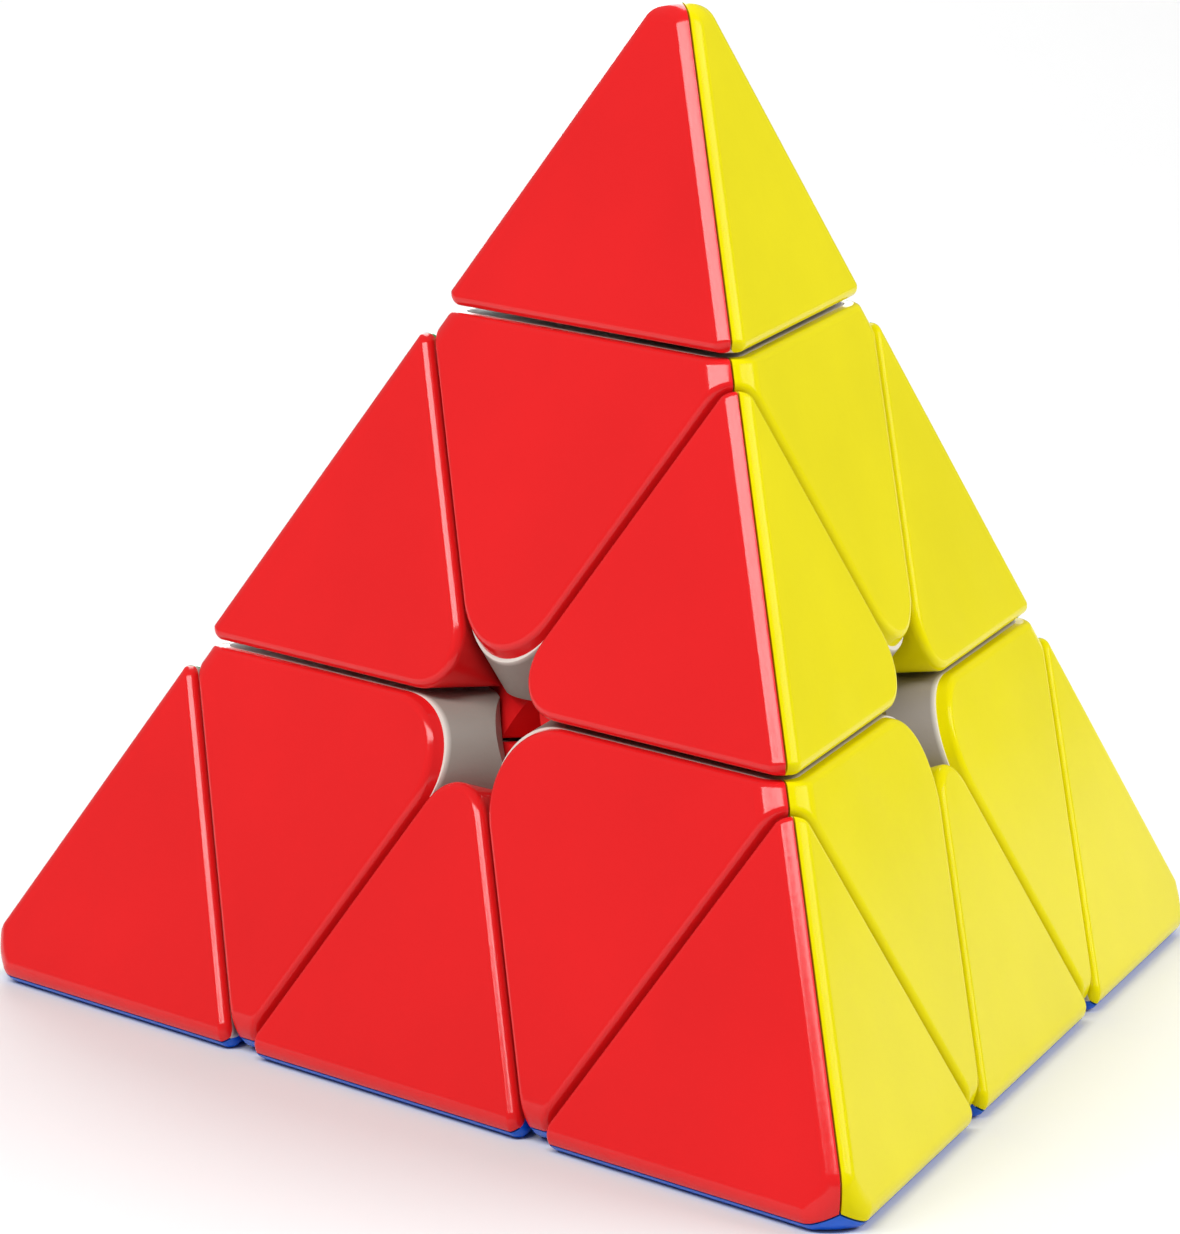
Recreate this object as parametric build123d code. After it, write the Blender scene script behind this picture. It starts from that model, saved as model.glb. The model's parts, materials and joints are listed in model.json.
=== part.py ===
from build123d import *
import os
from itertools import permutations
from math import asin, cos, radians, sin, sqrt, tan

# A pyramid twisty puzzle: a regular tetrahedron cut by planes square to its four corner axes.
# Each corner carries a small tip that turns on an axial piece, and each axial piece turns on
# an arm of the hidden core and carries three of the six edge pieces round with it.
# Millimetres, +Z up through the top corner, origin at the centre, where all four axes meet.

# ---- driving dimensions ----
EDGE = 98.0  # sharp edge of the tetrahedron, before rounding
TIP_CUT = 32.85  # centre to the plane a tip turns on
LAYER_CUT = 6.95  # centre to the plane a layer turns on
HALF_GAP = 0.2  # each piece stands back this far from a cut
EDGE_ROUND = 1.4  # rounding along the tetrahedron's edges
AXIAL_EDGE_ROUND = 2.6  # the axial pieces are rounder where they reach those edges
RIM_ROUND = 0.65  # rounding where a face turns down into a cut
AXIAL_CORNER_ROUND = 5.6  # plan rounding of the axial caps at the middle of a face
BODY_CORNER_ROUND = 5.3  # the same corner on the axial body, which stands out as a lip
EDGE_CORNER_TILT = 69.0  # an edge piece's corner is part of a cone, tilted this far from the ridge
CAP = 0.9  # thickness of the coloured caps
WALL = 2.0  # walls of the hollow edge pieces
PARTING = 0.14  # width of the line where two colours meet

# tip corner: a ball truncates the sharp corner, then its border is softened
CORNER_DROP = 4.45  # sharp corner down to the top of the ball
CORNER_BALL = 4.6
CORNER_BLEND = 1.8

# mechanism: radii about the centre, and distances from it along a layer's axis
CORE_R = 8.5
SEAT_R = 8.7  # the axial pieces and feet clear the core by 0.2
FOOT = (3.9, 15.1)  # an edge piece's foot starts at this distance and ends at this radius
TRACK = (3.65, 15.4)  # the room in the axial pieces that the feet slide in
HOLLOW_NEAR = 18.5  # the edge pieces are solid nearer to the centre than this

# screws, springs and the room for them, as radii and distances along an axis
SCREW_R = 1.5
SCREW_END = 2.9
HEAD_R = 3.0
HEAD_LOW = 21.0
HEAD_TALL = 2.2
SHANK_HOLE_R = 1.65
WASHER_R = 3.4
WASHER_TALL = 0.8
SPRING_R = 2.5
SPRING_WIRE_R = 0.4
SPRING_TURNS = 5
FLOOR = 11.6  # bottom of the hollow in an axial piece
HOLLOW = [(6.2, FLOOR), (6.6, 13.4), (8.0, 16.0), (8.0, 25.0), (5.0, 28.5)]
LID_R = 6.0
LID_TALL = 2.0
PEG_R = 2.0
PEG_HOLE_R = 2.15
PEG_END = 30.3
TIP_SCREW_R = 1.1
TIP_SCREW_TOP = 42.0
TIP_HEAD_R = 3.4
TIP_HEAD_TALL = 1.4
CROSS = (0.7, 3.4, 1.1)  # cross recess: blade width, span, depth

# ---- derived ----
CORNER_R = EDGE * sqrt(6) / 4  # centre to a sharp corner
FACE = CORNER_R / 3  # centre to a face
RIM = EDGE * sqrt(2) / 4  # centre to the middle of a sharp edge
AXIAL_TOP = TIP_CUT - HALF_GAP
BIG = 160.0

CORNERS = {
    "top": Vector(0, 0, 1),
    "front": Vector(0, -2 * sqrt(2) / 3, -1 / 3),
    "right": Vector(sqrt(2 / 3), sqrt(2) / 3, -1 / 3),
    "left": Vector(-sqrt(2 / 3), sqrt(2) / 3, -1 / 3),
}
# the colour of each face, by the corner opposite to it
COLOURS = {"right": "red", "left": "yellow", "front": "green", "top": "blue"}

TOP, FRONT, RIGHT, LEFT = CORNERS.values()
RED_FROM_YELLOW = (LEFT - RIGHT).normalized()  # square to the mid-plane between two faces
RED_FROM_GREEN = (FRONT - RIGHT).normalized()


# ---- building blocks ----
def below(axis, distance):
    """All space on the near side of a plane square to an axis."""
    block = Box(BIG, BIG, BIG, align=(Align.CENTER, Align.CENTER, Align.MAX))
    return Plane(origin=axis * distance, z_dir=axis) * block


def beyond(axis, distance):
    return below(axis * -1, -distance)


def tetrahedron(face):
    """The solid whose four faces stand this far from the centre."""
    solid = below(TOP * -1, face)
    for corner in (FRONT, RIGHT, LEFT):
        solid = solid & below(corner * -1, face)
    return solid


def dome(distance, radius):
    """The top of a ball about the centre, above a cut square to the top axis."""
    return Sphere(radius) & beyond(TOP, distance)


def lens(distance, radius):
    """The part of a ball that is beyond this distance along both the top and front axes."""
    return dome(distance, radius) & beyond(FRONT, distance)


def ridge_rounding(first, second, distance, radius):
    """What a rounding takes off the ridge where two cut planes meet."""
    middle = (first + second).normalized()
    half = middle.dot(first)
    centre = (distance - radius) / half
    tangent = centre + radius * half
    wide = 2 * radius * sqrt(1 - half * half) + 10
    plane = Plane(origin=(0, 0, 0), x_dir=middle, z_dir=first.cross(second).normalized())
    block = Box(40, wide, BIG, align=(Align.MIN, Align.CENTER, Align.CENTER))
    return plane * Pos(tangent, 0, 0) * block - plane * Pos(centre, 0, 0) * Cylinder(radius, BIG)


def corner_rounding():
    """What a cone takes off the red end of the ridge between the top and front cuts.

    The cone touches both cuts. Its point is on the ridge, where the feet's track starts.
    """
    cut = LAYER_CUT + HALF_GAP
    middle = (TOP + FRONT).normalized()
    out = FRONT.cross(TOP).normalized()
    slant = middle.dot(TOP)
    near = cut / slant  # centre to the ridge
    point = middle * near + out * sqrt(TRACK[1] ** 2 - near**2)
    tilt = radians(EDGE_CORNER_TILT)
    axis = out * cos(tilt) + middle * sin(tilt)
    half_angle = asin(sin(tilt) * slant)
    tall = 30
    upright = (Align.CENTER, Align.CENTER, Align.MIN)
    cone = Plane(origin=point, z_dir=axis) * Cone(0, tall * tan(half_angle), tall, align=upright)
    on_top = axis - TOP * axis.dot(TOP)  # the lines where the cone touches the cuts
    on_front = axis - FRONT * axis.dot(FRONT)
    side = on_top.cross(on_front)
    return Plane(origin=point, z_dir=side) * Box(40, 40, 20, align=upright) - cone


def ring(outer, inner, low, high):
    """A collar about the vertical axis."""
    solid = Pos(0, 0, low) * Cylinder(outer, high - low, align=(Align.CENTER, Align.CENTER, Align.MIN))
    if inner:
        solid = solid - Pos(0, 0, low) * Cylinder(inner, high - low, align=(Align.CENTER, Align.CENTER, Align.MIN))
    return solid


def touches(edge, axis, distance):
    """Does a straight edge lie in this plane?"""
    ends = [(edge @ 0).dot(axis), (edge @ 1).dot(axis)]
    return all(abs(end - distance) < 0.01 for end in ends)


def cross_recess(top):
    wide, span, deep = CROSS
    blade = Box(wide, span, deep, align=(Align.CENTER, Align.CENTER, Align.MAX))
    return Pos(0, 0, top) * (blade + Rot(0, 0, 90) * blade)


# ---- the top tip ----
def tip_solid():
    rounded = fillet(SHARP.edges(), EDGE_ROUND)
    centre = CORNER_R - CORNER_DROP - CORNER_BALL
    crown = Pos(0, 0, centre) * Sphere(CORNER_BALL)
    rest = below(TOP, CORNER_R - (CORNER_DROP + CORNER_BALL) * 2 / 3)  # where the ball has met the edges
    tip = rounded & beyond(TOP, TIP_CUT + HALF_GAP) & (crown + rest)
    ball = tip.faces().sort_by(Axis.Z)[-1]
    tip = fillet(ball.edges(), CORNER_BLEND)
    bottom = tip.faces().sort_by(Axis.Z)[0]
    return fillet(bottom.edges(), RIM_ROUND)


def tip_inside():
    """The form under the caps of the top tip."""
    return tetrahedron(FACE - CAP) & below(TOP, CORNER_R - CORNER_DROP - CAP)


def tip_base(tip):
    low = TIP_CUT + HALF_GAP
    base = (tip & tip_inside()) + ring(PEG_R, 0, PEG_END, low + 1)
    return base - ring(TIP_SCREW_R, 0, PEG_END - 1, TIP_SCREW_TOP)


def tip_screw():
    head_low = PEG_END - TIP_HEAD_TALL
    head = ring(TIP_HEAD_R, 0, head_low, PEG_END)
    recess = Rot(180, 0, 0) * cross_recess(-head_low)
    return head + ring(TIP_SCREW_R, 0, PEG_END, TIP_SCREW_TOP) - recess


def red_cap(solid, inside):
    """The coloured shell over the red side of a tip or an axial piece."""
    shell = solid - inside
    return shell & beyond(RED_FROM_YELLOW, PARTING / 2) & beyond(RED_FROM_GREEN, PARTING / 2)


# ---- the top axial piece ----
def axial_solid(corner_round):
    solid = tetrahedron(FACE) & below(TOP, AXIAL_TOP) & beyond(TOP, LAYER_CUT + HALF_GAP)
    for corner in (FRONT, RIGHT, LEFT):
        solid = solid & below(corner, LAYER_CUT - HALF_GAP)
    for first, second in ((FRONT, RIGHT), (RIGHT, LEFT), (LEFT, FRONT)):
        solid = solid - ridge_rounding(first, second, LAYER_CUT - HALF_GAP, corner_round)
    return solid


def axial_shell():
    """The outer form that the caps are cut from, rounded all round."""
    solid = axial_solid(AXIAL_CORNER_ROUND) & fillet(SHARP.edges(), AXIAL_EDGE_ROUND)
    top = solid.faces().sort_by(Axis.Z)[-1]
    solid = fillet(top.edges(), RIM_ROUND)
    red = RIGHT * -1
    lower = [
        edge
        for edge in solid.edges()
        if touches(edge, red, FACE) and touches(edge, FRONT, LAYER_CUT - HALF_GAP)
    ]
    return fillet(lower, RIM_ROUND)


def axial_inside():
    """The form under the caps of the axial pieces."""
    return fillet(tetrahedron(FACE - CAP).edges(), AXIAL_EDGE_ROUND - CAP)


def axial_body():
    solid = axial_solid(BODY_CORNER_ROUND) & axial_inside()
    profile = [(0, FLOOR)] + HOLLOW + [(HOLLOW[-1][0], AXIAL_TOP), (0, AXIAL_TOP)]
    hollow = revolve(Plane.XZ * make_face(Polyline(profile, close=True)), Axis.Z)
    solid = solid - hollow - ring(LID_R, 0, AXIAL_TOP - LID_TALL, AXIAL_TOP)
    solid = solid - Sphere(SEAT_R) - ring(SHANK_HOLE_R, 0, 0, FLOOR + 1)
    for corner in ("front", "right", "left"):
        turn = ONE_PER_CORNER[corner]
        solid = solid - turn * dome(*TRACK)
    return solid


def axial_lid():
    return ring(LID_R, PEG_HOLE_R, AXIAL_TOP - LID_TALL, AXIAL_TOP)


# ---- the edge piece between the top and front corners ----
def edge_solid():
    cut = LAYER_CUT + HALF_GAP
    solid = tetrahedron(FACE) & beyond(TOP, cut) & beyond(FRONT, cut)
    outer = [edge for edge in solid.edges() if touches(edge, RIGHT * -1, FACE) and touches(edge, LEFT * -1, FACE)]
    solid = fillet(outer, EDGE_ROUND)
    solid = solid - corner_rounding()
    rim = [
        edge
        for edge in solid.edges()
        if touches(edge, RIGHT * -1, FACE) and touches(edge, TOP, cut)
    ]
    return fillet(rim, RIM_ROUND)


def foot():
    """A lens that stays out of the tracks of the two layers the piece isn't in."""
    solid = lens(*FOOT) - Sphere(SEAT_R)
    return solid & below(LEFT, TRACK[0]) & below(RIGHT, TRACK[0])


def edge_hollow():
    wall = LAYER_CUT + HALF_GAP + WALL
    middle = (TOP + FRONT).normalized()
    return tetrahedron(FACE - WALL) & beyond(TOP, wall) & beyond(FRONT, wall) & beyond(middle, HOLLOW_NEAR)


def red_half():
    middle = (TOP + FRONT).normalized()
    crest = RIM - EDGE_ROUND * (sqrt(3) - 1)
    groove = beyond(middle, crest - 0.6) & below(RED_FROM_YELLOW, PARTING / 2)
    solid = edge_solid() + foot() - edge_hollow()
    return (solid & beyond(RED_FROM_YELLOW, 0)) - groove


# ---- the core and its fasteners ----
def axis_screw():
    head = ring(HEAD_R, 0, HEAD_LOW, HEAD_LOW + HEAD_TALL)
    return ring(SCREW_R, 0, SCREW_END, HEAD_LOW) + head - cross_recess(HEAD_LOW + HEAD_TALL)


def axis_washer():
    return ring(WASHER_R, SCREW_R, HEAD_LOW - WASHER_TALL, HEAD_LOW)


def axis_spring():
    low = FLOOR + SPRING_WIRE_R + 0.1
    high = HEAD_LOW - WASHER_TALL - SPRING_WIRE_R - 0.05
    path = Helix((high - low) / SPRING_TURNS, high - low, SPRING_R)
    wire = Plane(origin=path @ 0, z_dir=path % 0) * Circle(SPRING_WIRE_R)
    return Pos(0, 0, low) * sweep(wire, path=path, is_frenet=True)


def core():
    solid = Sphere(CORE_R)
    for turn in ONE_PER_CORNER.values():
        solid = solid - turn * ring(SCREW_R, 0, SCREW_END, CORE_R + 1)
    return solid


# ---- the twelve ways to turn the tetrahedron onto itself ----
def corner_plane(first, second):
    axis, aside = CORNERS[first], CORNERS[second]
    return Plane(origin=(0, 0, 0), x_dir=aside - axis * axis.dot(aside), z_dir=axis)


def is_turn(order):
    """A rotation swaps the corners an even number of times; a mirror image doesn't."""
    places = [list(CORNERS).index(name) for name in order]
    swaps = sum(a > b for i, a in enumerate(places) for b in places[i + 1 :])
    return swaps % 2 == 0


def turn_to(order):
    """The rotation that carries top, front, right and left to the corners in this order."""
    home = corner_plane("top", "right").location.inverse()
    return corner_plane(order[0], order[2]).location * home


TURNS = {order: turn_to(order) for order in permutations(CORNERS) if is_turn(order)}
ONE_PER_CORNER = {order[0]: turn for order, turn in TURNS.items()}
SHARP = tetrahedron(FACE)


def save(name, shape):
    export_step(shape, f"parts/{name}.step")


def save_four(name, shape):
    """One of these on each of the four axes, as separate solids in one node."""
    save(name, Compound(children=[turn * shape for turn in ONE_PER_CORNER.values()]))


def main():
    os.makedirs("parts", exist_ok=True)
    save("core", core())
    save_four("axis_screws", axis_screw())
    save_four("axis_washers", axis_washer())
    save_four("axis_springs", axis_spring())

    tip, shell = tip_solid(), axial_shell()
    per_corner = {
        "tip_{}_base": tip_base(tip),
        "tip_{}_screw": tip_screw(),
        "axial_{}_body": axial_body(),
        "axial_{}_lid": axial_lid(),
    }
    for corner, turn in ONE_PER_CORNER.items():
        for name, shape in per_corner.items():
            save(name.format(corner), turn * shape)

    tip_cap = red_cap(tip, tip_inside())
    axial_cap = red_cap(shell, axial_inside())
    half = red_half()
    for (corner, other, opposite, _), turn in TURNS.items():
        colour = COLOURS[opposite]
        save(f"tip_{corner}_{colour}_cap", turn * tip_cap)
        save(f"axial_{corner}_{colour}_cap", turn * axial_cap)
        first, second = sorted((corner, other), key=list(CORNERS).index)
        save(f"edge_{first}_{second}_{colour}_half", turn * half)


main()
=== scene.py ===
import json
from math import cos, pi, radians, sin

import bpy
from mathutils import Matrix, Vector


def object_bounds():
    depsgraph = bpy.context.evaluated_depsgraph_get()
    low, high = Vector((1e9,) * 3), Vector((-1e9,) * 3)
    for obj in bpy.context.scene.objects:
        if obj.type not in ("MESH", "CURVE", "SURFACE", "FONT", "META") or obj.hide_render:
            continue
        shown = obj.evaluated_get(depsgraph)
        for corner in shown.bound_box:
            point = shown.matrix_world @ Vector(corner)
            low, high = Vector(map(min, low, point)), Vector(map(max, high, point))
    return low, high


# The looks of the pyramid twisty puzzle: four glossy plastic colours, the plain plastic inside
# and its steel fasteners, on a pale floor under studio lights. Metres and degrees.

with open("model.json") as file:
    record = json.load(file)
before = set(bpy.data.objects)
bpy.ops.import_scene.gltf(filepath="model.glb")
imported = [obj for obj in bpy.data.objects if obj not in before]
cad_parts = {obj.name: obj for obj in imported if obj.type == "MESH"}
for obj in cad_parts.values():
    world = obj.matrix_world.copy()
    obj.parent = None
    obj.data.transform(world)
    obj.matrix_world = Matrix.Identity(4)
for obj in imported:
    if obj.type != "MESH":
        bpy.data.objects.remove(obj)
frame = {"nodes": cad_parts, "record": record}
cad_box = [list(corner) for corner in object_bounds()]

# ---- camera ----
AZIMUTH = -11.78
ELEVATION = 11.27
ROLL = 0.54
DISTANCE = 0.5108
TARGET_RIGHT = -0.0061  # the point looked at, from the puzzle's centre, in the view's own plane
TARGET_UP = 0.01093
SENSOR_MM = 36
LENS_MM = 215.51

# ---- colours, linear ----
RED = (0.80, 0.013, 0.015)
YELLOW = (0.79, 0.69, 0.001)
GREEN = (0.004, 0.40, 0.05)
BLUE = (0.005, 0.12, 0.70)
# the inner plastic deep inside, darkened as painted shade, and its own colour at the rims
INNER_PAINTED_SHADE = (0.32, 0.28, 0.245)
INNER_RIM = (0.74, 0.69, 0.63)
STEEL = (0.62, 0.62, 0.64)
FLOOR = (0.80, 0.80, 0.80)

# ---- how glossy the coloured plastics are, where 0.5 is ordinary plastic ----
SHINE = 0.34
YELLOW_SHINE = 0.06  # lower, so that the white floor's reflection doesn't wash it out

# ---- texture sizes, as noise cycles per metre ----
FLOW_MARKS = 60
MOTTLE = 90
HAZE = 220
PLATING = 700
ORANGE_PEEL = 1400
POLISH = 1800
MOULD_GRAIN = 2500
FLOOR_PATCHES = 4
NOISE_LOW, NOISE_HIGH = 0.3, 0.7  # nearly all of a noise lies between these

# ---- the Mix node's colour sockets, by number because other sockets have the same names ----
MIX_FIRST, MIX_SECOND, MIX_RESULT = 6, 7, 2

# ---- the puzzle's shape ----
# where the four faces look: down, back, front right and front left
FACE_AXES = ((0, 0, -1), (0, 0.9428, 0.3333), (0.8165, -0.4714, 0.3333), (-0.8165, -0.4714, 0.3333))
RIM_LEVEL = 0.0191  # from the centre to the rims of the axial bodies, just under the caps
DEEP_LEVEL = 0.0188  # nearer to the centre than this, the plastic takes the full painted shade

# ---- lights: place, direction that the width runs in, width and height, radiance ----
SOFTBOXES = {
    "key_strip": ((-0.66, -0.50, 1.12), (1.0, -0.6, 0.39), (1.5, 0.34), 10.8),
    "right_softbox": ((1.05, -0.16, 0.72), (-0.65, -0.44, 0.31), (1.0, 0.5), 7),
    "backdrop_light": ((0.2, 1.4, 0.7), (1, 0, 0), (0.5, 1.6), 4),
}
WORLD_STRENGTH = 0.25
FLOOR_HALF = 3.0


# ---- node helpers ----
def new_material(name):
    material = bpy.data.materials.new(name)
    material.use_nodes = True
    nodes = material.node_tree.nodes
    return material, nodes, material.node_tree.links, nodes["Principled BSDF"]


def object_place(nodes):
    """A point's place at rest, so that marks keep their size and turn with their piece."""
    return nodes.new("ShaderNodeTexCoord").outputs["Object"]


def noise(nodes, links, scale, detail=3.0, roughness=0.5):
    texture = nodes.new("ShaderNodeTexNoise")
    texture.inputs["Scale"].default_value = scale
    texture.inputs["Detail"].default_value = detail
    texture.inputs["Roughness"].default_value = roughness
    links.new(object_place(nodes), texture.inputs["Vector"])
    return texture.outputs["Fac"]


def spread(nodes, links, value, low, high, start=NOISE_LOW, end=NOISE_HIGH):
    """Maps the values from start to end onto low to high."""
    mapping = nodes.new("ShaderNodeMapRange")
    mapping.inputs["From Min"].default_value = start
    mapping.inputs["From Max"].default_value = end
    mapping.inputs["To Min"].default_value = low
    mapping.inputs["To Max"].default_value = high
    links.new(value, mapping.inputs["Value"])
    return mapping.outputs["Result"]


def tinted(nodes, links, value, colour, darkening):
    """A colour that a noise value darkens in places."""
    ramp = nodes.new("ShaderNodeValToRGB")
    dark, full = ramp.color_ramp.elements
    dark.position, full.position = NOISE_LOW, NOISE_HIGH
    dark.color = (*(channel * darkening for channel in colour), 1)
    full.color = (*colour, 1)
    links.new(value, ramp.inputs["Fac"])
    return ramp.outputs["Color"]


def blended(nodes, links, factor, first, second):
    """From a linked colour, at factor 0, to a plain one, at factor 1."""
    mix = nodes.new("ShaderNodeMix")
    mix.data_type = "RGBA"
    links.new(factor, mix.inputs["Factor"])
    links.new(first, mix.inputs[MIX_FIRST])
    mix.inputs[MIX_SECOND].default_value = (*second, 1)
    return mix.outputs[MIX_RESULT]


def bump(nodes, links, height, strength, distance=0.0001):
    node = nodes.new("ShaderNodeBump")
    node.inputs["Strength"].default_value = strength
    node.inputs["Distance"].default_value = distance
    links.new(height, node.inputs["Height"])
    return node.outputs["Normal"]


def along(nodes, links, place, axis):
    """How far a place lies along an axis, from the centre."""
    product = nodes.new("ShaderNodeVectorMath")
    product.operation = "DOT_PRODUCT"
    product.inputs[1].default_value = axis
    links.new(place, product.inputs[0])
    return product.outputs["Value"]


def larger(nodes, links, first, second):
    maximum = nodes.new("ShaderNodeMath")
    maximum.operation = "MAXIMUM"
    links.new(first, maximum.inputs[0])
    links.new(second, maximum.inputs[1])
    return maximum.outputs["Value"]


def outwardness(nodes, links):
    """How far out a point lies: its distance from the centre along the axis of the nearest face."""
    place = object_place(nodes)
    distance = along(nodes, links, place, FACE_AXES[0])
    for axis in FACE_AXES[1:]:
        distance = larger(nodes, links, distance, along(nodes, links, place, axis))
    return distance


# ---- materials ----
def gloss_plastic(name, colour, shine=SHINE):
    """Glossy and coloured right through, with faint flow marks, handling haze and orange peel."""
    material, nodes, links, shader = new_material(name)
    marks = noise(nodes, links, FLOW_MARKS)
    links.new(tinted(nodes, links, marks, colour, darkening=0.93), shader.inputs["Base Color"])
    haze = noise(nodes, links, HAZE, detail=5, roughness=0.6)
    links.new(spread(nodes, links, haze, low=0.10, high=0.17), shader.inputs["Roughness"])
    peel = noise(nodes, links, ORANGE_PEEL, detail=2)
    links.new(bump(nodes, links, peel, strength=0.05), shader.inputs["Normal"])
    shader.inputs["IOR"].default_value = 1.5
    shader.inputs["Specular IOR Level"].default_value = shine
    return material


def inner_plastic():
    """The plain light plastic of the hidden parts, satin from the mould, with painted shade that
    darkens it further in towards the centre.
    """
    material, nodes, links, shader = new_material("inner_plastic_look")
    # painted shade: the darker colour deep inside, mottled at random by a noise
    painted_shade_colour = tinted(nodes, links, noise(nodes, links, MOTTLE), INNER_PAINTED_SHADE, darkening=0.9)
    out = outwardness(nodes, links)
    # 0 deep inside, where the shade is painted, rising to 1 at the rims
    unshaded = spread(nodes, links, out, low=0, high=1, start=DEEP_LEVEL, end=RIM_LEVEL)
    links.new(blended(nodes, links, unshaded, painted_shade_colour, INNER_RIM), shader.inputs["Base Color"])
    grain = noise(nodes, links, MOULD_GRAIN, detail=4, roughness=0.65)
    links.new(spread(nodes, links, grain, low=0.4, high=0.55), shader.inputs["Roughness"])
    links.new(bump(nodes, links, grain, strength=0.15), shader.inputs["Normal"])
    return material


def plated_steel():
    """Metal with a patchy polish."""
    material, nodes, links, shader = new_material("plated_steel_look")
    plating = noise(nodes, links, PLATING)
    links.new(tinted(nodes, links, plating, STEEL, darkening=0.8), shader.inputs["Base Color"])
    polish = noise(nodes, links, POLISH)
    links.new(spread(nodes, links, polish, low=0.25, high=0.42), shader.inputs["Roughness"])
    shader.inputs["Metallic"].default_value = 1.0
    return material


def floor_material():
    material, nodes, links, shader = new_material("floor_look")
    patches = noise(nodes, links, FLOOR_PATCHES)
    links.new(tinted(nodes, links, patches, FLOOR, darkening=0.985), shader.inputs["Base Color"])
    shader.inputs["Roughness"].default_value = 0.75
    return material


def dress():
    """Gives every CAD node the material of its slot in the record."""
    looks = {
        "red_plastic": gloss_plastic("red_plastic_look", RED),
        "yellow_plastic": gloss_plastic("yellow_plastic_look", YELLOW, YELLOW_SHINE),
        "green_plastic": gloss_plastic("green_plastic_look", GREEN),
        "blue_plastic": gloss_plastic("blue_plastic_look", BLUE),
        "inner_plastic": inner_plastic(),
        "steel": plated_steel(),
    }
    slots = {part["node"]: part["material_slot"] for part in frame["record"]["subparts"]}
    for name, node in frame["nodes"].items():
        node.data.materials.clear()
        node.data.materials.append(looks[slots[name]])


# ---- the set ----
def floor():
    """A pale floor that the puzzle stands on."""
    height = cad_box[0][2]
    around = ((-1, -1), (1, -1), (1, 1), (-1, 1))
    mesh = bpy.data.meshes.new("floor")
    mesh.from_pydata([(x * FLOOR_HALF, y * FLOOR_HALF, height) for x, y in around], [], [(0, 1, 2, 3)])
    mesh.materials.append(floor_material())
    plane = bpy.data.objects.new("floor", mesh)
    bpy.context.scene.collection.objects.link(plane)


def softbox(name, place, width_way, size, radiance):
    """A rectangular light that faces the puzzle and shows this radiance in a mirror."""
    width, height = size
    light = bpy.data.lights.new(name, "AREA")
    light.shape = "RECTANGLE"
    light.size, light.size_y = width, height
    light.energy = radiance * pi * width * height
    lamp = bpy.data.objects.new(name, light)
    bpy.context.scene.collection.objects.link(lamp)
    back = Vector(place).normalized()
    side = (Vector(width_way) - back * back.dot(Vector(width_way))).normalized()
    turn = Matrix((side, back.cross(side), back)).transposed().to_4x4()
    lamp.matrix_world = Matrix.Translation(place) @ turn


def lighting():
    for name, values in SOFTBOXES.items():
        softbox(name, *values)
    world = bpy.data.worlds.new("studio")
    world.use_nodes = True
    background = world.node_tree.nodes["Background"]
    background.inputs["Color"].default_value = (1, 1, 1, 1)
    background.inputs["Strength"].default_value = WORLD_STRENGTH
    bpy.context.scene.world = world
    bpy.context.scene.view_settings.view_transform = "Standard"


def camera():
    """A long lens, turned about the puzzle's centre, moved off it in its own plane, and rolled."""
    azimuth, elevation, roll = radians(AZIMUTH), radians(ELEVATION), radians(ROLL)
    back = Vector((sin(azimuth) * cos(elevation), -cos(azimuth) * cos(elevation), sin(elevation)))
    right = (-back).cross(Vector((0, 0, 1))).normalized()
    up = right.cross(-back)
    place = right * TARGET_RIGHT + up * TARGET_UP + back * DISTANCE
    across = right * cos(roll) + up * sin(roll)
    upward = up * cos(roll) - right * sin(roll)
    data = bpy.data.cameras.new("camera")
    data.sensor_fit = "HORIZONTAL"
    data.sensor_width = SENSOR_MM
    data.lens = LENS_MM
    data.clip_start = 0.01
    data.clip_end = 20
    eye = bpy.data.objects.new("camera", data)
    bpy.context.scene.collection.objects.link(eye)
    turn = Matrix((across, upward, back)).transposed().to_4x4()
    eye.matrix_world = Matrix.Translation(place) @ turn
    bpy.context.scene.camera = eye


dress()
floor()
lighting()
camera()
